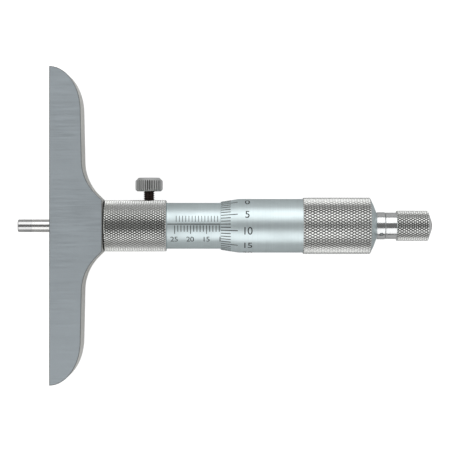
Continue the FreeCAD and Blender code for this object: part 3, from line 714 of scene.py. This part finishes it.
knob = knurled(section("ratchet_knob", PLAIN_SIDE), 109.22 * MM, 119.32 * MM, 4.785 * MM, 0.24 * MM,
               0.2 * MM, 35, 7, MATERIALS["knurled_chrome"])
knob_metals = [MATERIALS["bright_chrome"], MATERIALS["knurled_chrome"]]
KEYWAY_LOW = (104.72 * MM, -0.65 * MM, -3.8 * MM)
KEYWAY_HIGH = (113.22 * MM, 0.65 * MM, 3.8 * MM)
knob = cut_away(knob, slotting_tool(KEYWAY_LOW, KEYWAY_HIGH), knob_metals)
finished(knob, "knob_dressed", knob_metals, "ratchet_group", "bright_chrome", "ratchet_knob")

# %% [markdown]
# ## The clamp
# The clamp screw crosses the rod, so its pieces are turned about their own axis and then set in
# place. Two more trees cut the repeats on them: flutes along the knob's edge, and the screw's
# thread. Both take a plain turned mesh and press its surface inwards by a formula of the angle and
# the place along the axis, as a formed tool would.

# %% Node tree: flutes and threads
def pressed_tree(name, extra, groove):
    """A tree that lowers a turned surface to radius - depth * groove, and keeps its relief."""
    tree, given, out = new_tree(
        name, "GeometryNodeTree",
        {"Mesh": ("Geometry", None), "Radius": ("Float", 0.004), "Depth": ("Float", 0.0003), **extra},
        {"Mesh": "Geometry"})
    spot = apart(tree, add(tree, "GeometryNodeInputPosition").outputs[0])
    radius = maths(tree, "SQRT", maths(tree, "ADD", maths(tree, "MULTIPLY", spot["Y"], spot["Y"]),
                                       maths(tree, "MULTIPLY", spot["Z"], spot["Z"])))
    turn = maths(tree, "DIVIDE", maths(tree, "ARCTAN2", spot["Y"], spot["Z"]), 2 * math.pi)
    share = groove(tree, given, spot["X"], turn)
    lowered = maths(tree, "SUBTRACT", given["Radius"], maths(tree, "MULTIPLY", share, given["Depth"]))
    outside = maths(tree, "GREATER_THAN", radius, maths(tree, "SUBTRACT", given["Radius"], given["Depth"]))
    scale = maths(tree, "DIVIDE", maths(tree, "MINIMUM", radius, lowered), maths(tree, "MAXIMUM", radius, 1e-7))
    kept = add(tree, "GeometryNodeStoreNamedAttribute", {
        "Geometry": given["Mesh"], "Name": "relief",
        "Value": maths(tree, "SUBTRACT", 1.0, maths(tree, "MULTIPLY", share, outside))},
        data_type="FLOAT", domain="POINT")
    pressed = add(tree, "GeometryNodeSetPosition", {
        "Geometry": kept.outputs[0],
        "Position": vector(tree, spot["X"], maths(tree, "MULTIPLY", spot["Y"], scale),
                           maths(tree, "MULTIPLY", spot["Z"], scale))})
    feed(tree, out["Mesh"], pressed.outputs[0])
    return tree


def off_centre(tree, phase):
    """0 in the middle of each repeat and 1 between repeats."""
    middle = maths(tree, "SUBTRACT", maths(tree, "FRACT", phase), 0.5)
    return maths(tree, "MULTIPLY", maths(tree, "ABSOLUTE", middle), 2.0)


def flute(tree, given, along, turn):
    """A flat-bottomed groove along the axis, with a land left between grooves."""
    off = off_centre(tree, maths(tree, "MULTIPLY", turn, given["Count"]))
    return maths(tree, "MULTIPLY", maths(tree, "SUBTRACT", 0.7, off), 2.0, clamp=True)


def thread(tree, given, along, turn):
    """A right-handed V groove that advances one pitch in a turn."""
    off = off_centre(tree, maths(tree, "ADD", maths(tree, "DIVIDE", along, given["Pitch"]), turn))
    return maths(tree, "MULTIPLY", maths(tree, "SUBTRACT", 0.88, off), 1.3, clamp=True)


FLUTES = pressed_tree("Straight flutes", {"Count": ("Int", 36)}, flute)
THREAD = pressed_tree("Screw thread", {"Pitch": ("Float", 0.0006)}, thread)


def with_rings(corners, step):
    """Adds corners along the long stretches, so that the pressed surface can follow its formula."""
    dense = [corners[0]]
    for corner in corners[1:]:
        before = dense[-1]
        parts = max(1, math.ceil(abs(corner[0] - before[0]) / step))
        run, rise = corner[0] - before[0], corner[1] - before[1]
        dense += [(before[0] + run * k / parts, before[1] + rise * k / parts) for k in range(1, parts + 1)]
    return dense


def pressed(tree, form, name, **inputs):
    """Runs a pressing tree on a turned bmesh."""
    mesh = bpy.data.meshes.new(name)
    form.to_mesh(mesh)
    form.free()
    done = bmesh.new()
    done.from_mesh(grown(tree, name, mesh, **inputs))
    return done


# %% The clamp's knob and screw
AXES_TURNED = Matrix(((0, 1, 0, 0), (0, 0, 1, 0), (1, 0, 0, 0), (0, 0, 0, 1)))
TO_AXIS = AXES_TURNED @ Matrix.Translation((-CLAMP_X, 0, 0))
FLUTE_COUNT = 36
clamp_knob = turned(with_rings(broken(section("clamp_knob", 0, TO_AXIS), False, 0.05 * MM), 0.12 * MM), False,
                    even_angles(FLUTE_COUNT * 10))
clamp_knob = pressed(FLUTES, clamp_knob, "flutes", Radius=4.35 * MM, Depth=0.28 * MM, Count=FLUTE_COUNT)
clamp_knob.transform(TO_AXIS.inverted())
finished(clamp_knob, "clamp_knob_dressed", [MATERIALS["fluted_steel"]], "clamp_group", "knurled_steel",
         "clamp_knob")

THREAD_PITCH = 0.6 * MM
clamp_screw = turned(with_rings(section("clamp_screw", 0, TO_AXIS), THREAD_PITCH / 8), False, even_angles(48))
clamp_screw = pressed(THREAD, clamp_screw, "thread", Radius=1.75 * MM, Depth=0.34 * MM, Pitch=THREAD_PITCH)
clamp_screw.transform(TO_AXIS.inverted())
finished(clamp_screw, "clamp_screw_dressed", [MATERIALS["browned_steel"]], "clamp_group", "browned_steel",
         "clamp_screw")

# %% [markdown]
# ## The base
# The base is milled and ground from one block of hardened steel. Its mesh is the CAD shape sewn
# together. How far a face looks up tells its metal: the broad faces are ground along their length.
# The milled sides get a much paler copy of that steel, which is painted light where the lamps catch
# them, and the narrow slopes between them, the broken edges, get a darker copy, which is painted shade.

# %% The base
BROAD_FACE = 0.95           # a broad face looks up or down at least this much
SIDE_FACE = 0.3             # and a side less than this
base = sewn("base")
bmesh.ops.recalc_face_normals(base, faces=base.faces)
for face in base.faces:
    up = abs(face.normal.z)
    # the sides take the paler copy (painted light) and the narrow slopes the darker one (painted shade)
    face.material_index = 0 if up > BROAD_FACE else 1 if up < SIDE_FACE else 2
finished(base, "base_dressed", [MATERIALS["ground_base"], MATERIALS["milled_side_painted_light"], MATERIALS["edge_break_painted_shade"]],
         "frame", "base_steel", "base")

# %% [markdown]
# ## The scale
# The sleeve has a long index line. Below it stand the whole millimetres, with every fifth one longer
# and numbered, and above it the half millimetres. The thimble's bevel has fifty divisions, so with a
# screw of half a millimetre each is a hundredth. All the lines are small boxes set out on a flat
# strip and wrapped round the metal: a paint-filled groove, standing a hair proud so that it shows.

# %% Node tree: engraved marks
PROUD = 0.012 * MM          # of the paint over the metal
SUNK = 0.03 * MM            # of the paint below the metal


def marks_tree():
    tree, given, out = new_tree(
        "Engraved marks", "GeometryNodeTree",
        {"Count": ("Int", 10), "First": ("Vector", (0, 0, 0)), "Step": ("Vector", (0, 0, 0)),
         "Short": ("Vector", (0, 0, 0)), "Long": ("Vector", (0, 0, 0)), "Grow": ("Vector", (0, 0, 0)),
         "Every": ("Int", 5), "Radius": ("Float", 0.007), "Slope": ("Float", 0.0), "Start": ("Float", 0.0),
         "Material": ("Material", None)},
        {"Mesh": "Geometry"})
    index = add(tree, "GeometryNodeInputIndex").outputs[0]
    lesser = maths(tree, "MINIMUM", maths(tree, "MODULO", index, given["Every"]), 1.0)
    size = add(tree, "ShaderNodeMix", {"Factor": lesser, 4: given["Long"], 5: given["Short"]},
               data_type="VECTOR").outputs[1]
    shift = add(tree, "ShaderNodeVectorMath", {0: size, 1: given["Grow"]}, operation="MULTIPLY").outputs[0]
    along = add(tree, "ShaderNodeVectorMath", {0: given["Step"], "Scale": index},
                operation="SCALE").outputs[0]
    spot = add(tree, "ShaderNodeVectorMath", {0: given["First"], 1: along}, operation="ADD").outputs[0]
    place = add(tree, "ShaderNodeVectorMath", {0: spot, 1: shift}, operation="ADD").outputs[0]
    points = add(tree, "GeometryNodePoints", {"Count": given["Count"], "Position": place})
    box = add(tree, "GeometryNodeMeshCube", {
        "Size": (1, 1, 1), "Vertices X": 2, "Vertices Y": 9, "Vertices Z": 2})
    set_out = add(tree, "GeometryNodeInstanceOnPoints", {
        "Points": points.outputs[0], "Instance": box.outputs[0], "Scale": size})
    strip = add(tree, "GeometryNodeRealizeInstances", {"Geometry": set_out.outputs[0]}).outputs[0]
    bent = wrapped(tree, strip, given["Radius"], given["Slope"], given["Start"])
    finish = add(tree, "GeometryNodeSetMaterial", {"Geometry": bent, "Material": given["Material"]})
    feed(tree, out["Mesh"], finish.outputs[0])
    return tree


MARKS = marks_tree()
THICK = PROUD + SUNK
MIDDLE = (PROUD - SUNK) / 2


def marks(form, count, first, step, short, long, grow, every, radius, slope=0.0, start=0.0):
    """Adds wrapped marks to a bmesh. Places and sizes are flat (along, round) in metres."""
    form.from_mesh(grown(
        MARKS, "marks", Count=count, First=(*first, MIDDLE), Step=(*step, 0.0), Short=(*short, THICK),
        Long=(*long, THICK), Grow=(grow[0] / 2, grow[1] / 2, 0.0), Every=every, Radius=radius, Slope=slope,
        Start=start, Material=PAINT))


# %% Node tree: engraved figures
def figures_tree():
    tree, given, out = new_tree(
        "Engraved figures", "GeometryNodeTree",
        {"Text": ("String", "0"), "Place": ("Vector", (0, 0, 0)), "Height": ("Float", 0.002),
         "Radius": ("Float", 0.007), "Material": ("Material", None)},
        {"Mesh": "Geometry"})
    text = add(tree, "GeometryNodeStringToCurves", {
        "String": given["Text"], "Size": 1.0, "Character Spacing": 0.93}, align_x="CENTER", align_y="MIDDLE")
    letters = add(tree, "GeometryNodeRealizeInstances", {"Geometry": text.outputs[0]})
    filled = add(tree, "GeometryNodeFillCurve", {"Curve": letters.outputs[0]}, mode="TRIANGLES")
    fine = add(tree, "GeometryNodeSubdivideMesh", {"Mesh": filled.outputs[0], "Level": 2})
    raised = add(tree, "GeometryNodeExtrudeMesh", {
        "Mesh": fine.outputs[0], "Offset": vector(tree, 0, 0, 1), "Offset Scale": 1.0, "Individual": False},
        mode="FACES")
    under = add(tree, "GeometryNodeFlipFaces", {"Mesh": fine.outputs[0]})
    both = add(tree, "GeometryNodeJoinGeometry")
    tree.links.new(under.outputs[0], both.inputs[0])
    tree.links.new(raised.outputs["Mesh"], both.inputs[0])
    whole = add(tree, "GeometryNodeMergeByDistance", {"Geometry": both.outputs[0], "Distance": 0.0005})
    size = vector(tree, given["Height"], given["Height"], THICK)
    placed = add(tree, "GeometryNodeTransform", {
        "Geometry": whole.outputs[0], "Translation": given["Place"], "Scale": size})
    bent = wrapped(tree, placed.outputs[0], given["Radius"])
    finish = add(tree, "GeometryNodeSetMaterial", {"Geometry": bent, "Material": given["Material"]})
    feed(tree, out["Mesh"], finish.outputs[0])
    return tree


FIGURES = figures_tree()
CAP_HEIGHT = 0.72           # of the font's figures, against its size


def figures(form, text, along, round_, height, radius):
    """Adds a wrapped number, centred at flat (along, round)."""
    form.from_mesh(grown(FIGURES, "figures", Text=text, Place=(along, round_, -SUNK),
                         Height=height / CAP_HEIGHT, Radius=radius, Material=PAINT))


# %% The sleeve's scale
SLEEVE_R = 7.275 * MM
ZERO_X = 64.2 * MM
LINE_DEG = 4.2              # the index line, from +Z towards +Y
LINE_Y = math.radians(LINE_DEG) * SLEEVE_R
LINE_WIDTH = 0.26 * MM
TICK = 0.22 * MM
FINE_TICK = 0.17 * MM

scale = bmesh.new()
marks(scale, 1, (36.9 * MM, LINE_Y), (0, 0), (30 * MM, LINE_WIDTH), (30 * MM, LINE_WIDTH), (1, 0), 1, SLEEVE_R)
marks(scale, 26, (ZERO_X, LINE_Y - 0.42 * MM), (-1 * MM, 0), (TICK, 2.0 * MM), (TICK, 2.7 * MM), (0, -1), 5,
      SLEEVE_R)
marks(scale, 25, (ZERO_X - 0.5 * MM, LINE_Y + 0.75 * MM), (-1 * MM, 0), (FINE_TICK, 1.95 * MM),
      (FINE_TICK, 1.95 * MM), (0, 1), 1, SLEEVE_R)
for number in range(0, 26, 5):
    figures(scale, str(number), ZERO_X - (number + 0.15) * MM, -4.6 * MM, 1.9 * MM, SLEEVE_R)
finished(scale, "sleeve_scale", [PAINT], "frame", "satin_chrome")

# %% The thimble's scale
EDGE_R, EDGE_X = 7.6 * MM, 53.62 * MM
BEVEL_SLOPE = 0.9 / 5.7
BARREL_R = 8.5 * MM
DIVISION = math.radians(360 / 50)
READING = 8                 # the division that stands at the index line
zero_turn = math.radians(LINE_DEG - 0.3) + READING * DIVISION

divisions = bmesh.new()
marks(divisions, 50, (EDGE_X + 0.08 * MM, zero_turn * EDGE_R), (0, -DIVISION * EDGE_R), (3.1 * MM, 0.24 * MM),
      (5.3 * MM, 0.24 * MM), (1, 0), 5, EDGE_R, BEVEL_SLOPE, EDGE_X)
for number in range(0, 50, 5):
    figures(divisions, str(number), 62.05 * MM, (zero_turn - number * DIVISION) * BARREL_R - 0.18 * MM,
            2.5 * MM, BARREL_R)
finished(divisions, "thimble_scale", [PAINT], "thimble_group", "satin_chrome")

# %% [markdown]
# ## The pieces inside
# The pieces inside keep their CAD shapes and take plain metals. They show only where the rod leaves
# the base, and down the clamp's hole.

# %% Metals of the inner pieces
INNER = {
    "guide_bush": "bronze", "inner_sleeve": "plain_steel", "adjusting_nut": "plain_steel",
    "fixed_ratchet": "plain_steel", "sliding_ratchet": "plain_steel", "ratchet_spring": "spring_wire",
    "clamp_pad": "brass",
}
for name, finish in INNER.items():
    for slot in nodes[name].material_slots:
        slot.material = MATERIALS[finish]
print("inner pieces:", ", ".join(INNER))

# %% [markdown]
# ## The light
# Polished and satin metal shows the room more than itself. The instrument lies on a pale table
# between two long lamps, which draw the two bright bands along every cylinder. The metal reflects a
# soft grey room, and the camera sees the room as white.

# %% Room, floor and lamps
world = bpy.data.worlds.new("room")
bpy.context.scene.world = world
world.use_nodes = True
room = world.node_tree
seen = add(room, "ShaderNodeLightPath")
toward = apart(room, add(room, "ShaderNodeTexCoord").outputs["Generated"])
side = toward["Y"]
wall = add(room, "ShaderNodeValToRGB", {"Fac": maths(room, "MULTIPLY_ADD", side, 0.5, 0.5)})
ROOM = ((0.0, 0.20), (0.27, 0.20), (0.33, 0.17), (0.67, 0.17), (0.73, 0.30), (1.0, 0.36))
for place, tone in ROOM[2:]:
    wall.color_ramp.elements.new(place)
for stop, (place, tone) in zip(wall.color_ramp.elements, ROOM):
    stop.position, stop.color = place, (tone, tone, tone, 1.0)
along = add(room, "ShaderNodeMapRange", {"Value": maths(room, "ABSOLUTE", toward["X"]), 1: 0.3, 2: 0.7, 3: 0.0,
                                         4: 1.0}).outputs[0]
wall = add(room, "ShaderNodeMix", {"Factor": along, 6: wall.outputs["Color"], 7: (0.6, 0.6, 0.6, 1.0)},
           data_type="RGBA").outputs[2]
straight = maths(room, "MAXIMUM", seen.outputs["Is Camera Ray"], seen.outputs["Is Transmission Ray"])
strength = add(room, "ShaderNodeMix", {"Factor": straight, 6: wall, 7: (1.0, 1.0, 1.0, 1.0)},
               data_type="RGBA").outputs[2]
sky = room.nodes["Background"]
room.links.new(strength, sky.inputs["Color"])

FLOOR_Z = -8.94 * MM
FLOOR_GLOW = 0.80           # brings the floor up to white for the camera
GLOSSY_SHARE = 0.08         # of that glow, how much the metal reflects
floor_form = bmesh.new()
bmesh.ops.create_grid(floor_form, x_segments=1, y_segments=1, size=2.0,
                      matrix=Matrix.Translation((0, 0, FLOOR_Z)))
floor = as_object(floor_form, "floor")
floor_material = bpy.data.materials.new("pale_table")
floor_material.use_nodes = True
table = floor_material.node_tree
surface = table.nodes["Principled BSDF"]
surface.inputs["Base Color"].default_value = (0.50, 0.50, 0.50, 1.0)
surface.inputs["Roughness"].default_value = 0.9
surface.inputs["Specular IOR Level"].default_value = 0.0
path = add(table, "ShaderNodeLightPath").outputs
in_view = maths(table, "MAXIMUM", path["Is Camera Ray"], path["Is Transmission Ray"])
in_view = maths(table, "MULTIPLY_ADD", path["Is Glossy Ray"], GLOSSY_SHARE, in_view)
surface.inputs["Emission Color"].default_value = (1.0, 1.0, 1.0, 1.0)
table.links.new(maths(table, "MULTIPLY", in_view, FLOOR_GLOW), surface.inputs["Emission Strength"])
floor.data.materials.append(floor_material)


def lamp(name, place, aim, size, power):
    light = bpy.data.lights.new(name, "AREA")
    light.shape, light.size, light.size_y, light.energy = "RECTANGLE", size[0], size[1], power
    made = bpy.data.objects.new(name, light)
    made.location = place
    made.rotation_euler = (Vector(aim) - Vector(place)).to_track_quat("-Z", "Y").to_euler()
    bpy.context.scene.collection.objects.link(made)
    return made


AIM = (55 * MM, 0, 0)
LAMP_AWAY = 500 * MM
LAMP_SIZE = (0.8, 0.46)
for name, lean, power in (("lamp_above", 50, 1.45), ("lamp_below", -47, 1.30)):
    turn = math.radians(lean)
    lamp(name, (AIM[0], LAMP_AWAY * math.sin(turn), LAMP_AWAY * math.cos(turn)), AIM, LAMP_SIZE, power)

# %% Camera
camera_data = bpy.data.cameras.new("camera")
camera_data.lens, camera_data.sensor_width = 157.0, 36.0
camera_data.clip_start, camera_data.clip_end = 0.01, 10.0
camera = bpy.data.objects.new("camera", camera_data)
camera.location = (55.0 * MM, 0.25 * MM, 622 * MM)
bpy.context.scene.collection.objects.link(camera)
bpy.context.scene.camera = camera
bpy.context.scene.view_settings.view_transform = "Standard"
